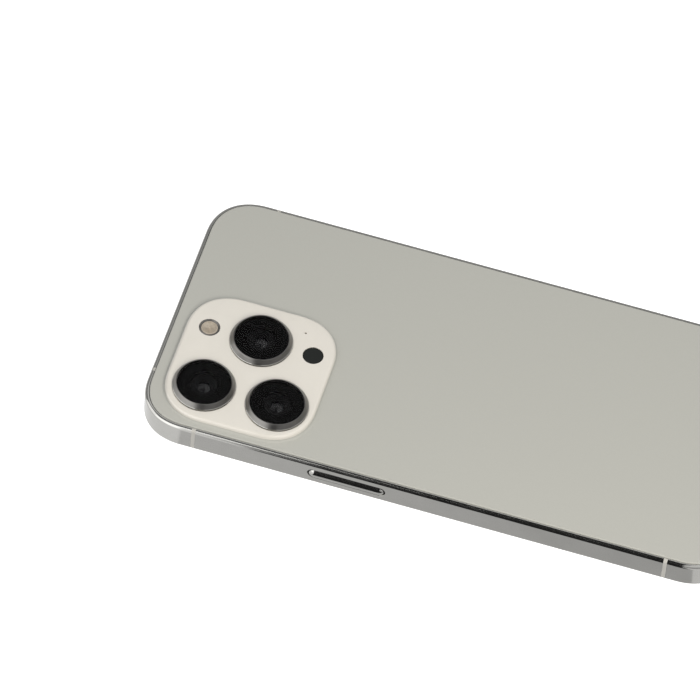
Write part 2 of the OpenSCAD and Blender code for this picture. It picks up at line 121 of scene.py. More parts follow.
# Buttons, switch and tray: length along the side, width across it, place and depth
BUTTON_W = 2.7 * MM
BUTTON_GAP = 0.07 * MM
BUTTON_END_GAP = 0.4 * MM
BUTTON_OUT = 0.5 * MM
BUTTON_CROWN = 0.5 * MM
BUTTON_BASE = 0.8 * MM
POCKET_DEPTH = 1.1 * MM
SIDE_BUTTON_L = 18.5 * MM
SIDE_BUTTON_Y = centre_of("side_button").y
VOLUME_L = 10.8 * MM
VOLUME_Y = [centre_of("volume_up_button").y, centre_of("volume_down_button").y]
SWITCH_POCKET_L = 7.0 * MM
SWITCH_DEPTH = 0.9 * MM
SWITCH_Y = centre_of("ring_switch").y
TRAY_L = 15.0 * MM
TRAY_W = 1.9 * MM
TRAY_DEPTH = 1.1 * MM
TRAY_FRONT_T = 1.0 * MM
TRAY_Y = centre_of("sim_tray").y
TRAY_BODY_L = 14.0 * MM
TRAY_BODY_T = 1.1 * MM
EJECT_Y = -6.2 * MM
EJECT_R = 0.4 * MM

# Bottom end and antenna strips
PORT_L = 9.2 * MM
PORT_W = 3.4 * MM
GRILLE_R = 0.65 * MM
GRILLE_X = [(-11.6 - 2.2 * i) * MM for i in range(6)] + [(11.6 + 2.2 * i) * MM for i in range(3)]
SCREW_X = [-7.4 * MM, 7.4 * MM]
SCREW_R = 0.8 * MM
SCREW_DEPTH = 0.95 * MM
ANTENNA_Y = 58.3 * MM
ANTENNA_X = 21.0 * MM
ANTENNA_W = 0.95 * MM
ANTENNA_DEPTH = 1.0 * MM

# Display side
BORDER_W = 2.2 * MM
PILL_L = 18.0 * MM
PILL_W = 5.2 * MM
PILL_Y = 62.0 * MM
EAR_L = 11.0 * MM
EAR_W = 0.8 * MM

# Light: the room's glow below its horizon, at it and at the ceiling, the paper's own glow, and
# the lamp's watts
GROUND_GLOW = 0.85
HORIZON_GLOW = 0.22
CEILING_GLOW = 0.92
FLOOR_GLOW = 0.78
LAMP_POWER = 1.6


# ---------------------------------------------------------------- mesh helpers
def linear(code):
    """An sRGB hex colour as linear RGBA."""
    values = [int(code[i:i + 2], 16) / 255 for i in (1, 3, 5)]
    return [v / 12.92 if v <= 0.04045 else ((v + 0.055) / 1.055) ** 2.4 for v in values] + [1]


def outline(half_x, half_y, reach, power, inset=0.0, centre=(0, 0), steps=CORNER_STEPS):
    """Points round a rectangle with curved corners, set in by a step along its normals."""
    points = []
    for sign_x, sign_y, back in ((1, 1, 0), (-1, 1, 1), (-1, -1, 0), (1, -1, 1)):
        for step in range(steps + 1):
            angle = radians(90 * (steps - step if back else step) / steps)
            run = abs(cos(angle)) ** (2 / power)
            rise = abs(sin(angle)) ** (2 / power)
            normal = Vector((run ** (power - 1), rise ** (power - 1))).normalized()
            x = half_x - reach + reach * run - inset * normal.x
            y = half_y - reach + reach * rise - inset * normal.y
            points.append((centre[0] + sign_x * x, centre[1] + sign_y * y))
    return points


def body_outline(inset):
    return outline(HALF_W, HALF_L, CORNER_REACH, CORNER_POWER, inset)


def plateau_outline(inset):
    return outline(PLATEAU_HALF_X, PLATEAU_HALF_Y, PLATEAU_REACH, PLATEAU_POWER, inset, PLATEAU)


def circle(centre, radius, steps=64):
    return [(centre[0] + radius * cos(2 * pi * i / steps),
             centre[1] + radius * sin(2 * pi * i / steps)) for i in range(steps)]


def stadium(length, width, inset=0.0, steps=14):
    """Points round a slot with round ends, long in its first direction."""
    radius = width / 2 - inset
    half = (length - width) / 2
    points = []
    for side, start in ((1, -90), (-1, 90)):
        for step in range(steps + 1):
            angle = radians(start + 180 * step / steps)
            points.append((side * half + radius * cos(angle), radius * sin(angle)))
    return points


def arc(centre, radius, start, end, steps=8):
    """Points along an arc in a section's plane, from one angle to another in degrees."""
    angles = [radians(start + (end - start) * i / steps) for i in range(steps + 1)]
    return [(centre[0] + radius * cos(a), centre[1] + radius * sin(a)) for a in angles]


def add_ring(mesh, points, place):
    return [mesh.verts.new(place(p)) for p in points]


def at_height(z):
    return lambda p: (p[0], p[1], z)


def bridge(mesh, first, second, material=0):
    """Quads between two rings with the same number of points."""
    count = len(first)
    for i in range(count):
        j = (i + 1) % count
        face = mesh.faces.new((first[i], first[j], second[j], second[i]))
        face.material_index = material


def fill(mesh, rings, material=0):
    """A flat face inside the first ring, with the other rings as holes."""
    edges = []
    for ring in rings:
        for i, vert in enumerate(ring):
            other = ring[(i + 1) % len(ring)]
            edges.append(mesh.edges.get((vert, other)) or mesh.edges.new((vert, other)))
    made = bmesh.ops.triangle_fill(mesh, use_beauty=True, use_dissolve=False, edges=edges)
    for item in made["geom"]:
        if isinstance(item, bmesh.types.BMFace):
            item.material_index = material


def to_object(mesh, name, sharp=30, weighted=True):
    """Turns a bmesh into an object with smooth faces and edges sharp past an angle."""
    bmesh.ops.remove_doubles(mesh, verts=mesh.verts, dist=1e-7)
    bmesh.ops.recalc_face_normals(mesh, faces=mesh.faces)
    data = bpy.data.meshes.new(name)
    mesh.to_mesh(data)
    mesh.free()
    piece = bpy.data.objects.new(name, data)
    bpy.context.scene.collection.objects.link(piece)
    smooth(piece, sharp, weighted)
    return piece


def smooth(piece, sharp=30, weighted=True):
    data = piece.data
    data.polygons.foreach_set("use_smooth", [True] * len(data.polygons))
    data.set_sharp_from_angle(angle=radians(sharp))
    if weighted:
        modifier = piece.modifiers.new("even_normals", "WEIGHTED_NORMAL")
        modifier.keep_sharp = True
        modifier.weight = 100
        apply_modifiers(piece)


def apply_modifiers(piece):
    graph = bpy.context.evaluated_depsgraph_get()
    graph.update()
    data = bpy.data.meshes.new_from_object(piece.evaluated_get(graph))
    piece.modifiers.clear()
    piece.data = data


def cut(piece, cutters, sharp=30):
    """Cuts the cutters' shapes out of a piece."""
    for cutter in cutters:
        modifier = piece.modifiers.new("opening", "BOOLEAN")
        modifier.operation = "DIFFERENCE"
        modifier.solver = "EXACT"
        modifier.object = cutter
    apply_modifiers(piece)
    for cutter in cutters:
        bpy.data.objects.remove(cutter)
    smooth(piece, sharp)


def lofted(name, rows, sharp=30, weighted=True):
    """A closed piece through rows of rings, each a list of points in space, capped at both ends."""
    mesh = bmesh.new()
    rings = [[mesh.verts.new(p) for p in row] for row in rows]
    for first, second in zip(rings, rings[1:]):
        bridge(mesh, first, second)
    mesh.faces.new(rings[0])
    mesh.faces.new(rings[-1])
    return to_object(mesh, name, sharp, weighted)


def turned(name, profile, centre, steps=96, sharp=30):
    """A turned piece: a closed section of (radius, height) points carried round an upright axis."""
    mesh = bmesh.new()
    rings = []
    for radius, z in profile:
        if radius < 1e-9:
            rings.append([mesh.verts.new((centre[0], centre[1], z))] * steps)
        else:
            rings.append(add_ring(mesh, circle(centre, radius, steps), at_height(z)))
    for first, second in zip(rings, rings[1:] + rings[:1]):
        for i in range(steps):
            j = (i + 1) % steps
            corners = list(dict.fromkeys((first[i], first[j], second[j], second[i])))
            if len(corners) > 2:
                mesh.faces.new(corners)
    return to_object(mesh, name, sharp)


def on_side(side, y):
    """Places a side opening's or button's outline: long in Y, at half thickness, depth along X."""
    return lambda p, depth: (side * (HALF_W + depth), y + p[0], MID_Z + p[1])


def on_bottom(x):
    """Places a bottom opening's outline: long in X, at half thickness, depth along -Y."""
    return lambda p, depth: (x + p[0], -(HALF_L + depth), MID_Z + p[1])


def slot_rows(length, width, rows, place):
    """Rows for a round-ended piece, from (inset, depth) pairs."""
    return [[place(p, depth) for p in stadium(length, width, inset)] for inset, depth in rows]


# ---------------------------------------------------------------- materials
def add_node(tree, kind, sockets=None, **settings):
    """Adds a node with its settings; a socket takes a value, or a link from another's output."""
    node = tree.nodes.new(kind)
    for name, value in settings.items():
        setattr(node, name, value)
    for name, value in (sockets or {}).items():
        if isinstance(value, bpy.types.NodeSocket):
            tree.links.new(value, node.inputs[name])
        else:
            node.inputs[name].default_value = value
    return node


def open_material(name):
    material = bpy.data.materials.new(name)
    material.use_nodes = True
    material.node_tree.nodes.clear()
    return material, material.node_tree


def grained(name, dark, light, grain, rough, bump=0.0, **fixed):
    """A finish whose colour and roughness wander between two values over grains of a real size.
    grain is the grains' size in metres, rough a (low, high) pair, and bump their height in metres."""
    material, tree = open_material(name)
    place = add_node(tree, "ShaderNodeTexCoord")
    noise = add_node(tree, "ShaderNodeTexNoise", {
        "Vector": place.outputs["Object"], "Scale": 1 / grain, "Detail": 3.0, "Roughness": 0.6})
    colour = add_node(tree, "ShaderNodeValToRGB", {"Fac": noise.outputs["Fac"]})
    colour.color_ramp.elements[0].position = 0.3
    colour.color_ramp.elements[0].color = linear(dark)
    colour.color_ramp.elements[1].position = 0.7
    colour.color_ramp.elements[1].color = linear(light)
    roughness = add_node(tree, "ShaderNodeMapRange", {
        "Value": noise.outputs["Fac"], "From Min": 0.3, "From Max": 0.7,
        "To Min": rough[0], "To Max": rough[1]})
    shader = add_node(tree, "ShaderNodeBsdfPrincipled", {
        "Base Color": colour.outputs["Color"], "Roughness": roughness.outputs["Result"]})
    for socket, value in fixed.items():
        shader.inputs[socket.replace("_", " ")].default_value = value
    if bump:
        relief = add_node(tree, "ShaderNodeBump", {
            "Height": noise.outputs["Fac"], "Distance": bump})
        tree.links.new(relief.outputs["Normal"], shader.inputs["Normal"])
    add_node(tree, "ShaderNodeOutputMaterial", {"Surface": shader.outputs["BSDF"]})
    return material


def woven(name, dark, light, pitch, rough):
    """Woven wire cloth: two crossed waves of wires at a real spacing, over and under. Its colour
    carries painted shade: near black in the low hollows and gaps between the wires, paler on their
    crowns.
    """
    material, tree = open_material(name)
    place = add_node(tree, "ShaderNodeTexCoord")
    heights = []
    for direction in ("X", "Z"):
        wave = add_node(tree, "ShaderNodeTexWave", {
            "Vector": place.outputs["Object"], "Scale": pi / (10 * pitch)},
            bands_direction=direction, wave_profile="SIN")
        heights.append(wave.outputs["Fac"])
    weave = add_node(tree, "ShaderNodeMath", operation="MAXIMUM")
    for height, socket in zip(heights, weave.inputs):
        tree.links.new(height, socket)
    # Painted shade: the weave's low parts, between and under the wires, take the dark colour
    colour = add_node(tree, "ShaderNodeValToRGB", {"Fac": weave.outputs["Value"]})
    colour.color_ramp.elements[0].position = 0.35
    colour.color_ramp.elements[0].color = linear(dark)
    colour.color_ramp.elements[1].color = linear(light)
    relief = add_node(tree, "ShaderNodeBump", {
        "Height": weave.outputs["Value"], "Distance": pitch / 4})
    shader = add_node(tree, "ShaderNodeBsdfPrincipled", {
        "Base Color": colour.outputs["Color"], "Roughness": rough, "Metallic": 1.0,
        "Normal": relief.outputs["Normal"]})
    add_node(tree, "ShaderNodeOutputMaterial", {"Surface": shader.outputs["BSDF"]})
    return material


# Stainless steel, machined, polished and coated silver: a near mirror with a faint haze
POLISHED_STEEL = grained("polished_stainless_steel", "#BCBBB7", "#C4C3BF", 9 * MM, (0.1, 0.15),
                         Metallic=1.0)
# The same steel on the buttons, worn a little smoother by fingers
BUTTON_STEEL = grained("polished_steel_buttons", "#BCBBB7", "#C4C3BF", 5 * MM, (0.08, 0.12),
                       Metallic=1.0)
# Glass-filled resin, moulded and sanded flush: a dull, slightly warm pale grey
ANTENNA_RESIN = grained("moulded_antenna_resin", "#AFAEA9", "#B6B5B0", 0.4 * MM, (0.42, 0.5),
                        0.002 * MM)
# Glass etched matte with silver-grey paint behind it: soft, even and faintly pearly.
# The etch is about 0.03 mm across; it is drawn ten times coarser so that it shows at all
ETCHED_GLASS = grained("etched_back_painted_glass", "#ACADA7", "#AEAFA9", 0.3 * MM, (0.40, 0.46),
                       0.0006 * MM, IOR=1.5)
# The same glass left polished on the camera plateau: paler, with a hard clear gloss
POLISHED_GLASS = grained("polished_back_painted_glass", "#D3D0C8", "#D6D3CB", 6 * MM,
                         (0.30, 0.34), IOR=1.5, Coat_Weight=1.0, Coat_Roughness=0.04)
# Stainless steel, turned, with a darker satin coating: soft grey walls
RING_STEEL = grained("turned_dark_steel", "#7E7C79", "#868481", 3 * MM, (0.32, 0.38), Metallic=1.0)
# Sapphire, polished, with an anti-reflection coating: clear, with hardly a reflection of its
# own, so it is drawn nearly see-through
SAPPHIRE = grained("coated_sapphire", "#030304", "#040405", 5 * MM, (0.02, 0.03),
                   IOR=1.77, Alpha=0.05)
# Black ink printed under the sapphire round each lens: dead black
LENS_INK = grained("black_lens_ink", "#030303", "#040404", 0.5 * MM, (0.55, 0.65),
                   Specular_IOR_Level=0.02)
# Blackened aluminium of the lens barrels: very dark, with a dull sheen on its edges
BLACKENED_BARREL = grained("blackened_lens_barrel", "#050506", "#070708", 0.6 * MM,
                           (0.35, 0.45), Specular_IOR_Level=0.08)
# Front lens glass with a magnesium fluoride coating: black, with a faint soft sheen
COATED_LENS = grained("coated_lens_glass", "#040406", "#060609", 3 * MM, (0.05, 0.08),
                      IOR=1.5, Specular_IOR_Level=0.5)
# Moulded clear resin over a cream phosphor: a warm grey disc with a wet surface
FLASH_RESIN = grained("clear_resin_over_phosphor", "#9F978A", "#B3A898", 0.9 * MM, (0.16, 0.24),
                      0.01 * MM, IOR=1.49, Coat_Weight=0.8, Coat_Roughness=0.08)
# Infrared-pass acrylic: near black with a hint of green, and a clean gloss
SENSOR_ACRYLIC = grained("infrared_pass_acrylic", "#151816", "#191C1A", 2 * MM, (0.1, 0.16),
                         IOR=1.49, Specular_IOR_Level=0.25)
# Steel wire cloth, drawn at twice its 0.1 mm spacing so that its weave shows, with painted shade dark
# in the gaps between its wires
WIRE_CLOTH = woven("steel_wire_cloth", "#141413", "#6E6B66", 0.2 * MM, 0.4)
# Cover glass over a switched-off display: a deep black mirror
DISPLAY_GLASS = grained("black_display_glass", "#06070A", "#08090C", 20 * MM, (0.03, 0.05),
                        IOR=1.52)
# Black ink border under the same glass: very slightly blacker than the display
BORDER_INK = grained("display_border_ink", "#020202", "#030303", 20 * MM, (0.03, 0.05), IOR=1.52)
# Polyester film and foam: dull black
BLACK_FILM = grained("black_polyester_film", "#161617", "#1C1C1E", 0.5 * MM, (0.55, 0.7),
                     0.01 * MM)
# Stainless sheet, stamped and bright
STAMPED_STEEL = grained("stamped_stainless_sheet", "#BAB8B2", "#C6C4BE", 1.5 * MM, (0.25, 0.35),
                        0.003 * MM, Metallic=1.0)
# Nickel plate: warm and bright
NICKEL = grained("nickel_plate", "#B8B3A6", "#C2BDB0", 1.0 * MM, (0.18, 0.26), Metallic=1.0)
# Gold flash on the charging contacts
GOLD_FLASH = grained("gold_flash", "#D9B36A", "#E2BE78", 0.5 * MM, (0.2, 0.28), Metallic=1.0)
# Liquid-crystal polymer, moulded black
BLACK_POLYMER = grained("moulded_black_polymer", "#18181A", "#1F1F21", 0.3 * MM, (0.4, 0.5),
                        0.004 * MM)
# Aluminium sheet, bead-blasted: a fine pale grey sparkle
BLASTED_ALUMINIUM = grained("blasted_aluminium", "#B2B4B6", "#C2C4C6", 0.25 * MM, (0.4, 0.5),
                            0.01 * MM, Metallic=1.0)
# Enamelled copper wire: warm brown-orange under a clear varnish
COPPER_WIRE = grained("enamelled_copper", "#B4643A", "#C67648", 0.4 * MM, (0.25, 0.35),
                      0.01 * MM, Metallic=1.0)
# Ferrite sheet: matte charcoal
FERRITE = grained("ferrite_sheet", "#47474A", "#505053", 0.4 * MM, (0.6, 0.7), 0.005 * MM)
# Sintered magnet with nickel plate: grey and slightly rough
MAGNET = grained("nickelled_magnet", "#A4A4A2", "#B0B0AE", 0.8 * MM, (0.3, 0.4), 0.004 * MM,
                 Metallic=1.0)
# Battery laminate, black foil: satin with faint creases
BATTERY_FOIL = grained("black_battery_foil", "#202124", "#28292C", 4 * MM, (0.35, 0.5), 0.03 * MM)
# Stretch-release adhesive: soft off-white rubber
ADHESIVE = grained("white_adhesive_strip", "#E4E4E0", "#ECECE8", 1 * MM, (0.55, 0.65), 0.01 * MM)
# Solder mask over fibreglass: dark green and glossy
SOLDER_MASK = grained("green_solder_mask", "#12382B", "#1B4636", 0.8 * MM, (0.25, 0.4), 0.005 * MM)
# Polyimide film: transparent amber over copper, shown as a glossy brown-orange
POLYIMIDE = grained("polyimide_film", "#8A5517", "#9C6320", 1.2 * MM, (0.25, 0.35), 0.004 * MM)
# Sintered tungsten alloy: heavy dark grey metal with a fine grain
TUNGSTEN = grained("sintered_tungsten", "#525049", "#5F5C54", 0.3 * MM, (0.45, 0.55), 0.006 * MM,
                   Metallic=1.0)
# Yellow phosphor of the flash: chalky
PHOSPHOR = grained("yellow_phosphor", "#E0C858", "#F0D868", 0.3 * MM, (0.6, 0.7), 0.004 * MM)

# The finish of each of the record's material slots, for the nodes that keep their CAD mesh
SLOT_FINISH = {
    "frame_steel": POLISHED_STEEL, "antenna_plastic": ANTENNA_RESIN, "back_glass": ETCHED_GLASS,
    "ring_steel": RING_STEEL, "cover_glass": SAPPHIRE, "flash_window": FLASH_RESIN,
    "sensor_window": SENSOR_ACRYLIC, "mesh_steel": WIRE_CLOTH, "display_glass": DISPLAY_GLASS,
    "black_film": BLACK_FILM, "bright_steel": STAMPED_STEEL, "nickel": NICKEL,
    "black_plastic": BLACK_POLYMER, "aluminium_plate": BLASTED_ALUMINIUM,
    "copper_coil": COPPER_WIRE, "ferrite": FERRITE, "magnet": MAGNET,
    "battery_wrap": BATTERY_FOIL, "adhesive": ADHESIVE, "circuit_board": SOLDER_MASK,
    "flex_film": POLYIMIDE, "tungsten": TUNGSTEN, "led_phosphor": PHOSPHOR,
    "lens_black": BLACKENED_BARREL,
}
SLOT_OF = {part["node"]: part["material_slot"] for part in frame["record"]["subparts"]}


def dress_frame():
    """Gives every CAD node its slot's finish."""
    for name, node in frame["nodes"].items():
        node.data.materials.clear()
        node.data.materials.append(SLOT_FINISH[SLOT_OF[name]])


def finish_piece(piece, materials, body, *nodes):
    """Gives a piece its materials, its body and the CAD nodes it stands for."""
    for material in materials:
        piece.data.materials.append(material)
    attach(piece, body)
    if nodes:
        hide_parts(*nodes)
    return piece


# ---------------------------------------------------------------- steel band
def band_section():
    """The band's closed section as (inset, height): outer face, glass seats and inner wall."""
    low, high = FRAME_LOW.z, FRAME_HIGH.z
    seat = GLASS_INSET - GLASS_GAP
    plate = SHELF_LOW.z + SHELF_T
    front_seat = DISPLAY_HIGH.z + 0.1 * MM
    round_off = 0.06 * MM
    section = arc((FRAME_EDGE_R, low + FRAME_EDGE_R), FRAME_EDGE_R, 270, 180)
    section += arc((FRAME_EDGE_R, high - FRAME_EDGE_R), FRAME_EDGE_R, 180, 90)
    section += [(seat - round_off, high), (seat, high - round_off), (seat, SEAT_Z)]
    section += [(LEDGE_IN, SEAT_Z), (LEDGE_IN, plate), (WALL, plate)]
    section += [(WALL, front_seat + 0.8 * MM), (LEDGE_IN, front_seat + 0.8 * MM)]
    section += [(LEDGE_IN, front_seat), (seat, front_seat)]
    section += [(seat, low + round_off), (seat - round_off, low)]
    return section


def slot_cutter(length, width, depth, place, chamfer=0.05 * MM):
    """A round-ended cutter with a chamfered mouth, for an opening of a given depth."""
    rows = [(-chamfer, 0.5 * MM), (-chamfer, 0), (0, -chamfer), (0, -depth)]
    return lofted("cutter", slot_rows(length, width, rows, place))


def block_cutter(low, high):
    corners = [(0, 0), (1, 0), (1, 1), (0, 1)]
    rows = [[(low[0] + a * (high[0] - low[0]), low[1] + b * (high[1] - low[1]), z)
             for a, b in corners] for z in (low[2], high[2])]
    return lofted("cutter", rows)


def antenna_spots():
    """(side, place along it) of each antenna break: the four on the long sides, in order."""
    return [(side, end * ANTENNA_Y) for side in (1, -1) for end in (1, -1)]


def band():
    mesh = bmesh.new()
    rings = [add_ring(mesh, body_outline(inset), at_height(z)) for inset, z in band_section()]
    for first, second in zip(rings, rings[1:] + rings[:1]):
        bridge(mesh, first, second)
    piece = to_object(mesh, "steel_band", weighted=False)
    gap, end_gap = 2 * BUTTON_GAP, 2 * BUTTON_END_GAP
    cutters = [
        slot_cutter(SIDE_BUTTON_L + end_gap, BUTTON_W + gap, POCKET_DEPTH,
                    on_side(-1, SIDE_BUTTON_Y)),
        slot_cutter(SWITCH_POCKET_L, BUTTON_W, SWITCH_DEPTH, on_side(1, SWITCH_Y)),
        slot_cutter(TRAY_L + gap, TRAY_W + gap, TRAY_DEPTH, on_side(1, TRAY_Y)),
        slot_cutter(TRAY_L - 0.8 * MM, TRAY_W - 0.6 * MM, 3 * WALL, on_side(1, TRAY_Y)),
        slot_cutter(PORT_L, PORT_W, 3 * WALL, on_bottom(0), 0.2 * MM),
    ]
    for y in VOLUME_Y:
        cutters.append(slot_cutter(VOLUME_L + end_gap, BUTTON_W + gap, POCKET_DEPTH,
                                   on_side(1, y)))
    for x in GRILLE_X:
        cutters.append(slot_cutter(2 * GRILLE_R, 2 * GRILLE_R, 3 * WALL, on_bottom(x)))
    for x in SCREW_X:
        cutters.append(slot_cutter(2 * SCREW_R, 2 * SCREW_R, SCREW_DEPTH, on_bottom(x)))
    half = ANTENNA_W / 2
    for side, y in antenna_spots():
        reach = sorted((side * (HALF_W - ANTENNA_DEPTH), side * (HALF_W + MM)))
        cutters.append(block_cutter((reach[0], y - half, -MM), (reach[1], y + half, 2 * BODY_T)))
    for end in (1, -1):
        reach = sorted((end * (HALF_L - ANTENNA_DEPTH), end * (HALF_L + MM)))
        x = -end * ANTENNA_X
        cutters.append(block_cutter((x - half, reach[0], -MM), (x + half, reach[1], 2 * BODY_T)))
    cut(piece, cutters)
    finish_piece(piece, [POLISHED_STEEL], HANDSET, "frame_band")


def antenna_breaks():
    """The resin strips let into the band, a hair below its face."""
    section = [(min(inset, ANTENNA_DEPTH) + 0.01 * MM, z) for inset, z in band_section()
               if inset <= ANTENNA_DEPTH]
    half = ANTENNA_W / 2 - 0.01 * MM
    mesh = bmesh.new()
    places = [(lambda p, t, s=side, y=y: (s * (HALF_W - p[0]), y + t, p[1]))
              for side, y in antenna_spots()]
    places += [(lambda p, t, e=end: (-e * ANTENNA_X + t, e * (HALF_L - p[0]), p[1]))
               for end in (1, -1)]
    for place in places:
        ends = [[mesh.verts.new(place(p, t)) for p in section] for t in (-half, half)]
        bridge(mesh, *ends)
        for end in ends:
            mesh.faces.new(end)
    piece = to_object(mesh, "antenna_strips")
    finish_piece(piece, [ANTENNA_RESIN], HANDSET, "antenna_breaks")


# ---------------------------------------------------------------- back glass
def back_glass():
    """One sheet of glass with rounded edges that swells up into the camera plateau."""
    mesh = bmesh.new()
    top, edge = BODY_T, GLASS_EDGE_R
    rim = [(GLASS_INSET, SEAT_Z)]
    rim += [(GLASS_INSET + i, z) for i, z in arc((edge, top - edge), edge, 180, 90)]
    rims = [add_ring(mesh, body_outline(inset), at_height(z)) for inset, z in rim]
    for first, second in zip(rims, rims[1:]):
        bridge(mesh, first, second)
    flare = arc((-FLARE_R, top + FLARE_R), FLARE_R, 270, 345, 10)
    start = PLATEAU_Z - SHOULDER_R
    shoulder = arc((SHOULDER_R, start), SHOULDER_R, 180, 90, 12)
    flares = [add_ring(mesh, plateau_outline(inset), at_height(z)) for inset, z in flare]
    shoulders = [add_ring(mesh, plateau_outline(inset), at_height(z)) for inset, z in shoulder]
    for first, second in zip(flares, flares[1:]):
        bridge(mesh, first, second)
    bridge(mesh, flares[-1], shoulders[0], 1)
    for first, second in zip(shoulders, shoulders[1:]):
        bridge(mesh, first, second, 1)
    fill(mesh, [rims[-1], flares[0]])
    mouths, floors = [], []
    for spot, radius, step_radius, step in holes_in_glass():
        lip = 0.06 * MM
        rows = [(radius + lip, PLATEAU_Z), (radius, PLATEAU_Z - lip)]
        if step:
            rows += [(radius, PLATEAU_Z - step), (step_radius, PLATEAU_Z - step)]
        rows += [(step_radius, SEAT_Z)]
        rings = [add_ring(mesh, circle(spot, r), at_height(z)) for r, z in rows]
        for first, second in zip(rings, rings[1:]):
            bridge(mesh, first, second, 1)
        mouths.append(rings[0])
        floors.append(rings[-1])
    fill(mesh, [shoulders[-1]] + mouths, 1)
    fill(mesh, [rims[0]] + floors)
    piece = to_object(mesh, "back_glass_sheet", sharp=35)
    finish_piece(piece, [ETCHED_GLASS, POLISHED_GLASS], HANDSET, "back_glass")


def holes_in_glass():
    """(centre, mouth radius, bore radius, step depth) of each opening in the plateau."""
    holes = [(spot, RING_R + 0.13 * MM, COLLAR_R + 0.1 * MM, 0.3 * MM)
             for spot in CAMERAS.values()]
    holes.append((FLASH, FLASH_BEZEL_R + 0.06 * MM, FLASH_BEZEL_R + 0.06 * MM, 0))
    holes.append((SENSOR, SENSOR_R + 0.1 * MM, SENSOR_R + 0.1 * MM, 0))
    holes.append((MICROPHONE, MICROPHONE_R, MICROPHONE_R, 0))
    return holes


# ---------------------------------------------------------------- cameras
def camera_rings():
    """A coned collar round each cover, on a bright foot that stands on the plateau."""
    top, lip, crest = RING_TOP, 0.08 * MM, 0.22 * MM
    seat = PLATEAU_Z - 0.25 * MM
    foot = PLATEAU_Z + RING_FOOT_H
    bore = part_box("lens_cover_middle")[0].z
    mouth, brow = COVER_R + 0.05 * MM, COVER_R + RING_LIP
    waist = RING_R - 0.12 * MM
    run, fall = (waist - brow) / 4, (top - crest - foot) / 4
    collar = [(waist, foot)] + [(brow + i * run, top - crest - i * fall) for i in (3, 2, 1)]
    collar += [(brow - 0.02 * MM, top - lip), (brow - 0.1 * MM, top), (mouth + lip, top)]
    collar += [(mouth, top - lip), (mouth, bore), (COLLAR_BORE_R, bore), (COLLAR_BORE_R, SEAT_Z)]
    collar += [(COLLAR_R, SEAT_Z), (COLLAR_R, foot)]
    base = [(RING_R - 0.06 * MM, seat), (RING_R - 0.06 * MM, PLATEAU_Z + 0.03 * MM),
            (RING_R, PLATEAU_Z + 0.09 * MM), (RING_R, foot - 0.06 * MM), (RING_R - 0.06 * MM, foot),
            (waist, foot), (COLLAR_R + 0.01 * MM, foot - 0.01 * MM), (COLLAR_R + 0.01 * MM, seat)]
    for name, spot in CAMERAS.items():
        piece = turned("camera_ring_" + name, collar, spot, 128, 40)
        finish_piece(piece, [RING_STEEL], HANDSET, "lens_ring_" + name)
        piece = turned("camera_foot_" + name, base, spot, 128, 40)
        finish_piece(piece, [POLISHED_STEEL], HANDSET)


def camera_covers():
    """The sapphire over each camera, and the black ink under it with its clear round window."""
    for name, spot in CAMERAS.items():
        low, high = (corner.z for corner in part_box("lens_cover_" + name))
        edge = 0.12 * MM
        profile = [(0, low + 0.06 * MM), (COVER_R, low + 0.06 * MM), (COVER_R, high - edge)]
        profile += [(COVER_R - edge, high), (0, high)]
        piece = turned("camera_cover_" + name, profile, spot, 96)
        finish_piece(piece, [SAPPHIRE], HANDSET, "lens_cover_" + name)
        ink = [(WINDOW_R, low), (COVER_R, low), (COVER_R, low + 0.05 * MM),
               (WINDOW_R, low + 0.05 * MM)]
        mask = turned("camera_ink_" + name, ink, spot, 96)
        finish_piece(mask, [LENS_INK], HANDSET)


def lens_barrels():
    """The moving barrels: stepped blackened walls, and a domed coated front lens in each."""
    for name, spot in CAMERAS.items():
        low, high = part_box("lens_barrel_" + name)
        foot_r = high.x - spot.x
        neck_r = foot_r - MM
        step = PLATEAU_Z - 0.6 * MM
        profile = [(0, low.z), (foot_r, low.z), (foot_r, step), (neck_r, step)]
        profile += [(neck_r, high.z - 0.1 * MM), (neck_r - 0.1 * MM, high.z)]
        radius, z = neck_r - 0.35 * MM, high.z
        while radius > LENS_R + 0.1 * MM:
            profile += [(radius, z), (radius, z - STEP_DOWN)]
            radius -= STEP_IN
            z -= STEP_DOWN
        profile += [(LENS_R, z), (LENS_R, z - 0.3 * MM), (0, z - 0.3 * MM)]
        barrel = turned("camera_barrel_" + name, profile, spot, 96)
        finish_piece(barrel, [BLACKENED_BARREL], "lens_barrel_" + name, "lens_barrel_" + name)
        dome_r, seat = LENS_R - 0.05 * MM, z - 0.28 * MM
        crown = z - 0.25 * MM + LENS_BALL_R - sqrt(LENS_BALL_R ** 2 - dome_r ** 2)
        spread = degrees(asin(dome_r / LENS_BALL_R))
        dome = [(dome_r, seat)]
        dome += arc((0, crown - LENS_BALL_R), LENS_BALL_R, 90 - spread, 90, 10)
        dome[-1] = (0, dome[-1][1])
        dome += [(0, seat)]
        glass = turned("camera_lens_" + name, dome, spot, 96)
        finish_piece(glass, [COATED_LENS], "lens_barrel_" + name)


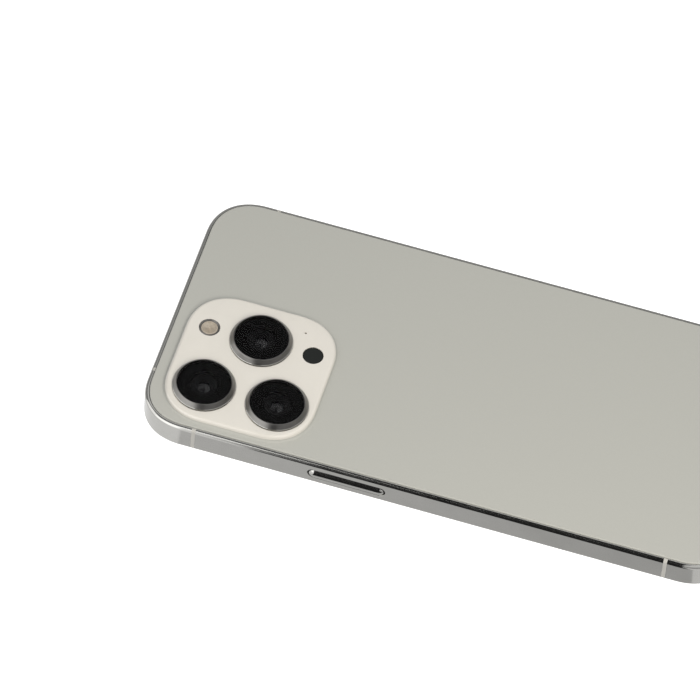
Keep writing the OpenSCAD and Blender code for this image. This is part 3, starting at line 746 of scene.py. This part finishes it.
# ---------------------------------------------------------------- flash, sensor, microphone
def flash_window():
    """A moulded disc: a raised rim round fine concentric lens rings."""
    low, high = (corner.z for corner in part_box("flash_cover"))
    profile = [(0, low), (FLASH_R, low), (FLASH_R, high - 0.12 * MM), (FLASH_R - 0.12 * MM, high)]
    radius = FLASH_R - 0.42 * MM
    profile += [(radius + 0.06 * MM, high), (radius, high - 0.1 * MM)]
    while radius > FLASH_GROOVE:
        profile += [(radius - 0.02 * MM, high - 0.03 * MM), (radius - FLASH_GROOVE, high - 0.1 * MM)]
        radius -= FLASH_GROOVE
    profile[-1] = (0, high - 0.06 * MM)
    piece = turned("flash_window", profile, FLASH, 72, 20)
    finish_piece(piece, [FLASH_RESIN], HANDSET, "flash_cover")
    edge = 0.1 * MM
    bezel = [(FLASH_R + 0.02 * MM, low), (FLASH_BEZEL_R, low), (FLASH_BEZEL_R, PLATEAU_Z - edge),
             (FLASH_BEZEL_R - edge, PLATEAU_Z), (FLASH_BEZEL_R - 2 * edge, PLATEAU_Z),
             (FLASH_R + 0.02 * MM, high)]
    rim = turned("flash_bezel", bezel, FLASH, 72, 20)
    finish_piece(rim, [RING_STEEL], HANDSET)


def sensor_window():
    low, high = (corner.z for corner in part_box("range_sensor_cover"))
    edge = 0.12 * MM
    profile = [(0, low), (SENSOR_R, low), (SENSOR_R, high - edge)]
    profile += [(SENSOR_R - edge, high), (0, high)]
    piece = turned("sensor_window", profile, SENSOR, 72)
    finish_piece(piece, [SENSOR_ACRYLIC], HANDSET, "range_sensor_cover")


# ---------------------------------------------------------------- display side
def display_glass():
    """The front glass: rounded edge, black border, display area and the front cameras' pill."""
    mesh = bmesh.new()
    low, high, edge = 0.0, DISPLAY_HIGH.z, DISPLAY_EDGE_R
    rim = [(GLASS_INSET, high)]
    rim += [(GLASS_INSET + i, z) for i, z in arc((edge, low + edge), edge, 180, 270)]
    rims = [add_ring(mesh, body_outline(inset), at_height(z)) for inset, z in rim]
    for first, second in zip(rims, rims[1:]):
        bridge(mesh, first, second)
    area = add_ring(mesh, body_outline(GLASS_INSET + BORDER_W), at_height(low))
    pill = [(p[0], PILL_Y + p[1]) for p in stadium(PILL_L, PILL_W)]
    pill = add_ring(mesh, pill, at_height(low))
    fill(mesh, [rims[-1], area])
    fill(mesh, [area, pill], 1)
    fill(mesh, [pill])
    fill(mesh, [rims[0]])
    piece = to_object(mesh, "display_glass_sheet")
    ear = centre_of("earpiece_mesh")
    rows = [(0, -0.5 * MM), (0, high + 0.5 * MM)]
    slot_at = lambda p, z: (ear.x + p[0], ear.y + p[1], z)
    cut(piece, [lofted("cutter", slot_rows(EAR_L, EAR_W, rows, slot_at))])
    finish_piece(piece, [BORDER_INK, DISPLAY_GLASS], HANDSET, "display_glass")


# ---------------------------------------------------------------- buttons and tray
def crowned_rows(width, base, out, crown):
    """(inset, depth) rows of a cap whose face is an arc across its width, rising by crown."""
    bend = (width ** 2 / 4 + crown ** 2) / (2 * crown)
    rows = [(0.05 * MM, -base), (0, -base + 0.05 * MM)]
    steps = 12
    for i in range(steps + 1):
        across = width / 2 * cos(pi / 2 * i / steps)
        rise = sqrt(bend ** 2 - across ** 2) - (bend - crown)
        rows.append((min(width / 2 - across, width / 2 - 0.02 * MM), out - crown + rise))
    return rows


def buttons():
    """The three pressed caps: long, crowned and round-ended. Their stems are out of sight."""
    spots = [("side_button", -1, SIDE_BUTTON_L), ("volume_up_button", 1, VOLUME_L),
             ("volume_down_button", 1, VOLUME_L)]
    for name, side, length in spots:
        place = on_side(side, centre_of(name).y)
        rows = crowned_rows(BUTTON_W, BUTTON_BASE, BUTTON_OUT, BUTTON_CROWN)
        piece = lofted(name + "_cap", slot_rows(length, BUTTON_W, rows, place), 40)
        finish_piece(piece, [BUTTON_STEEL], name, name)


def ring_switch():
    """The small sliding cap, at the low end of its pocket, with a flat rounded face."""
    low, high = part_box("ring_switch")
    middle = (low + high) / 2
    place = lambda p, depth: (HALF_W + depth, middle.y + p[0], middle.z + p[1])
    out, edge = high.x - HALF_W, 0.18 * MM
    rows = [(0, -0.75 * MM), (0, out - edge)]
    rows += [(edge - i, out - edge + z) for i, z in arc((0, 0), edge, 0, 90, 5)][1:]
    length, width = high.y - low.y, high.z - low.z
    piece = lofted("ring_switch_cap", slot_rows(length, width, rows, place), 40)
    finish_piece(piece, [BUTTON_STEEL], "ring_switch", "ring_switch")


def sim_tray():
    """The tray: its flush front with the pin's hole, and its open frame for the card."""
    low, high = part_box("sim_tray")
    place = on_side(1, TRAY_Y)
    face, edge = high.x - HALF_W, 0.08 * MM
    rows = [(0, -TRAY_FRONT_T), (0, face - edge), (edge, face)]
    front = lofted("tray_front", slot_rows(TRAY_L, TRAY_W, rows, place), 30)
    hole_at = lambda p, depth: (HALF_W + depth, TRAY_Y + EJECT_Y + p[0], MID_Z + p[1])
    cut(front, [slot_cutter(2 * EJECT_R, 2 * EJECT_R, 3 * MM, hole_at, 0.06 * MM)])
    plate_low = Vector((low.x, TRAY_Y - TRAY_BODY_L / 2, MID_Z - TRAY_BODY_T / 2))
    plate_high = Vector((HALF_W - TRAY_FRONT_T + 0.2 * MM, TRAY_Y + TRAY_BODY_L / 2,
                         MID_Z + TRAY_BODY_T / 2))
    plate = block_cutter(plate_low, plate_high)
    rail = 1.1 * MM
    well = block_cutter((plate_low.x + rail, plate_low.y + rail, MID_Z - 0.25 * MM),
                        (plate_high.x - 2 * rail, plate_high.y - rail, BODY_T))
    cut(plate, [well])
    plate.name = "tray_frame"
    for piece in (front, plate):
        finish_piece(piece, [BUTTON_STEEL], "sim_tray")
    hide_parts("sim_tray")


# ---------------------------------------------------------------- bottom end
def bottom_screws():
    """Two screws whose heads have a five-lobed recess."""
    for i, x in enumerate(SCREW_X):
        place = on_bottom(x)
        head = 0.75 * MM

        def round_row(radius, depth):
            return [place(p, depth) for p in circle((0, 0), radius, 60)]

        def lobed_row(scale, depth):
            points = []
            for step in range(60):
                angle = 2 * pi * step / 60
                radius = scale * (0.36 + 0.09 * cos(5 * angle)) * MM
                points.append(place((radius * cos(angle), radius * sin(angle)), depth))
            return points

        rows = [round_row(head, -0.95 * MM), round_row(head, -0.24 * MM),
                round_row(head - 0.08 * MM, -0.16 * MM), lobed_row(1.05, -0.16 * MM),
                lobed_row(1, -0.2 * MM), lobed_row(0.9, -0.6 * MM)]
        piece = lofted("bottom_screw_%d" % (i + 1), rows)
        finish_piece(piece, [STAMPED_STEEL], HANDSET)
        if i == 0:
            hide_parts("bottom_screws")


def charge_port():
    """The port's thin lining and its tongue with two rows of gold contacts."""
    place = on_bottom(0)
    low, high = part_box("charge_port_shell")
    front, back = -(low.y + HALF_L), -(high.y + HALF_L)
    length, width = high.x - low.x, high.z - low.z
    rows = [(0, back), (0, front), (0.25 * MM, front), (0.25 * MM, back + 0.5 * MM)]
    piece = lofted("port_lining", slot_rows(length, width, rows, place))
    finish_piece(piece, [NICKEL], HANDSET, "charge_port_shell")
    low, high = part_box("charge_port_tongue")
    middle = (low + high) / 2
    mesh = bmesh.new()
    edge = 0.15 * MM
    rows = [(0, high.y), (0, low.y + edge), (edge, low.y)]
    rings = [[mesh.verts.new((middle.x + sx * (high.x - middle.x - inset), y,
                              middle.z + sz * (high.z - middle.z - inset)))
              for sx, sz in ((1, 1), (-1, 1), (-1, -1), (1, -1))] for inset, y in rows]
    for first, second in zip(rings, rings[1:]):
        bridge(mesh, first, second)
    mesh.faces.new(rings[0])
    mesh.faces.new(rings[-1])
    pitch, pad_w, pad_l = 0.5 * MM, 0.26 * MM, 3.2 * MM
    for row in (1, -1):
        surface = high.z if row > 0 else low.z
        for i in range(12):
            x = middle.x + (i - 5.5) * pitch
            heights = (surface - row * 0.02 * MM, surface + row * 0.02 * MM)
            ends = [[mesh.verts.new((x + a * pad_w / 2, low.y + 0.5 * MM + b * pad_l, z))
                     for a, b in ((-1, 0), (1, 0), (1, 1), (-1, 1))] for z in heights]
            bridge(mesh, ends[0], ends[1], 1)
            for end in ends:
                mesh.faces.new(end).material_index = 1
    piece = to_object(mesh, "port_tongue", weighted=False)
    finish_piece(piece, [BLACK_POLYMER, GOLD_FLASH], HANDSET, "charge_port_tongue")


# ---------------------------------------------------------------- floor, light and camera
def glowing(name, strength, fade=None):
    """A plain white glow; fade is (y at full strength, y at the end, strength at the end)."""
    material, tree = open_material(name)
    glow = add_node(tree, "ShaderNodeEmission", {"Color": linear("#FFFFFF"), "Strength": strength})
    if fade:
        place = add_node(tree, "ShaderNodeTexCoord")
        split = add_node(tree, "ShaderNodeSeparateXYZ", {"Vector": place.outputs["Object"]})
        ramp = add_node(tree, "ShaderNodeMapRange", {
            "Value": split.outputs["Y"], "From Min": fade[1], "From Max": fade[0],
            "To Min": fade[2], "To Max": strength})
        tree.links.new(ramp.outputs["Result"], glow.inputs["Strength"])
    add_node(tree, "ShaderNodeOutputMaterial", {"Surface": glow.outputs["Emission"]})
    return material


def stage_sheet(name, points, material):
    """A flat sheet of the stage through its corner points."""
    mesh = bmesh.new()
    mesh.faces.new([mesh.verts.new(p) for p in points])
    data = bpy.data.meshes.new(name)
    mesh.to_mesh(data)
    mesh.free()
    sheet = bpy.data.objects.new(name, data)
    bpy.context.scene.collection.objects.link(sheet)
    data.materials.append(material)
    return sheet


def show_in_reflections_only(sheet):
    sheet.visible_camera = False
    sheet.visible_diffuse = False
    sheet.visible_shadow = False


def floor():
    """A plain pale sheet under the handset. The cards stand in for it in reflections."""
    material, tree = open_material("white_paper")
    paper = add_node(tree, "ShaderNodeBsdfDiffuse", {"Color": linear("#E8E8E8")})
    glow = add_node(tree, "ShaderNodeEmission", {
        "Color": linear("#FFFFFF"), "Strength": FLOOR_GLOW})
    both = add_node(tree, "ShaderNodeAddShader")
    tree.links.new(paper.outputs["BSDF"], both.inputs[0])
    tree.links.new(glow.outputs["Emission"], both.inputs[1])
    add_node(tree, "ShaderNodeOutputMaterial", {"Surface": both.outputs["Shader"]})
    reach = 4.0
    corners = [(-reach, -reach, 0), (reach, -reach, 0), (reach, reach, 0), (-reach, reach, 0)]
    sheet = stage_sheet("floor", corners, material)
    sheet.visible_glossy = False
    sheet.visible_diffuse = False


def cards():
    """Cards that only show in reflections: they give the polished steel its light and dark bands.
    Each is its corners in metres and its glow; the table's edge is where the dark ones begin."""
    table, wall_x, far_x, top, low = -0.088, -0.4, 0.6, 0.8, -0.05
    near_y, corner_y, split_low, split_high, end_y = -0.08, 0.073, 0.088, 0.128, 0.7
    overhead_x, overhead_y = 0.25, 0.143
    sheets = {
        "card_table": ([(table, near_y, low), (1, near_y, low), (1, corner_y, low),
                        (table, corner_y, low)], 0.68, (0.06, -0.04, 0.55)),
        "card_table_end": ([(table, corner_y, low), (1, corner_y, low), (1, end_y, low),
                            (table, end_y, low)], 0.95, None),
        "card_dark_ground": ([(wall_x, near_y, low), (table, near_y, low), (table, 0.055, low),
                              (wall_x, split_low, low)], 0.02, None),
        "card_bright_ground": ([(wall_x, split_low, low), (table, 0.055, low),
                                (table, end_y, low), (wall_x, end_y, low)], 1.0, None),
        "card_dark_wall": ([(wall_x, near_y, low), (wall_x, split_low, low),
                            (wall_x, split_high, top), (wall_x, near_y, top)], 0.02, None),
        "card_bright_wall": ([(wall_x, split_low, low), (wall_x, end_y, low),
                              (wall_x, end_y, top), (wall_x, split_high, top)],
                             1.9, (0.15, 0.1, 0.7)),
        "card_dark_ceiling": ([(wall_x, near_y, top), (wall_x, overhead_y, top),
                               (overhead_x, overhead_y, top), (overhead_x, near_y, top)],
                              0.02, None),
        "card_dim_ceiling": ([(wall_x, overhead_y, top), (wall_x, end_y, top),
                              (overhead_x, end_y, top), (overhead_x, overhead_y, top)],
                             0.25, None),
        "card_end_bright": ([(wall_x, end_y, low), (0.05, end_y, low), (0.05, end_y, top),
                             (wall_x, end_y, top)], 1.5, None),
        "card_end_dark": ([(0.05, end_y, low), (far_x, end_y, low), (far_x, end_y, top),
                           (0.05, end_y, top)], 0.3, None),
        "card_far_wall": ([(far_x, near_y, low), (far_x, end_y, low), (far_x, end_y, top),
                           (far_x, near_y, top)], 0.38, None),
    }
    for name, (points, strength, fade) in sheets.items():
        sheet = stage_sheet(name, points, glowing(name, strength, fade))
        show_in_reflections_only(sheet)


def light():
    """A room with a bright ceiling and dim walls, and one large soft lamp beside the long edge."""
    world = bpy.data.worlds.new("studio")
    bpy.context.scene.world = world
    world.use_nodes = True
    world.node_tree.nodes.clear()
    tree = world.node_tree
    place = add_node(tree, "ShaderNodeTexCoord")
    split = add_node(tree, "ShaderNodeSeparateXYZ", {"Vector": place.outputs["Generated"]})
    height = add_node(tree, "ShaderNodeMapRange", {
        "Value": split.outputs["Z"], "From Min": 0.0, "From Max": 1.0,
        "To Min": HORIZON_GLOW, "To Max": CEILING_GLOW})
    below = add_node(tree, "ShaderNodeMapRange", {
        "Value": split.outputs["Z"], "From Min": -0.05, "From Max": 0.0,
        "To Min": GROUND_GLOW - HORIZON_GLOW, "To Max": 0.0})
    total = add_node(tree, "ShaderNodeMath", {0: height.outputs["Result"],
                                              1: below.outputs["Result"]}, operation="ADD")
    back = add_node(tree, "ShaderNodeBackground", {
        "Color": linear("#FFFFFF"), "Strength": total.outputs["Value"]})
    add_node(tree, "ShaderNodeOutputWorld", {"Surface": back.outputs["Background"]})
    lamp = bpy.data.lights.new("soft_box", "AREA")
    lamp.size = 0.25
    lamp.energy = LAMP_POWER
    lamp.color = linear("#FFF8EF")[:3]
    holder = bpy.data.objects.new("soft_box", lamp)
    bpy.context.scene.collection.objects.link(holder)
    holder.location = (-0.3, -0.12, 0.36)
    aim(holder, Vector((0, 0, 0)))
    holder.visible_glossy = False


def aim(thing, target):
    thing.rotation_mode = "QUATERNION"
    thing.rotation_quaternion = (target - thing.location).to_track_quat("-Z", "Y")


def camera():
    """A long lens looking down at the cameras' end from beside the long edge."""
    azimuth, elevation, roll = radians(-78.24), radians(52.66), radians(5.88)
    distance = 1.69184
    target = Vector((5.38 * MM, 31.01 * MM, 0))
    back = Vector((sin(azimuth) * cos(elevation), -cos(azimuth) * cos(elevation), sin(elevation)))
    level = (-back).cross(Vector((0, 0, 1))).normalized()
    above = level.cross(-back)
    right = cos(roll) * level + sin(roll) * above
    up = cos(roll) * above - sin(roll) * level
    data = bpy.data.cameras.new("camera")
    data.lens = 360
    data.sensor_width = 36
    data.clip_start = 0.01
    data.clip_end = 20
    holder = bpy.data.objects.new("camera", data)
    bpy.context.scene.collection.objects.link(holder)
    turn = Matrix((right, up, back)).transposed().to_4x4()
    holder.matrix_world = Matrix.Translation(target + back * distance) @ turn
    bpy.context.scene.camera = holder
    bpy.context.scene.view_settings.view_transform = "Standard"


dress_frame()
band()
antenna_breaks()
back_glass()
camera_rings()
camera_covers()
lens_barrels()
flash_window()
sensor_window()
display_glass()
buttons()
ring_switch()
sim_tray()
bottom_screws()
charge_port()
floor()
cards()
light()
camera()
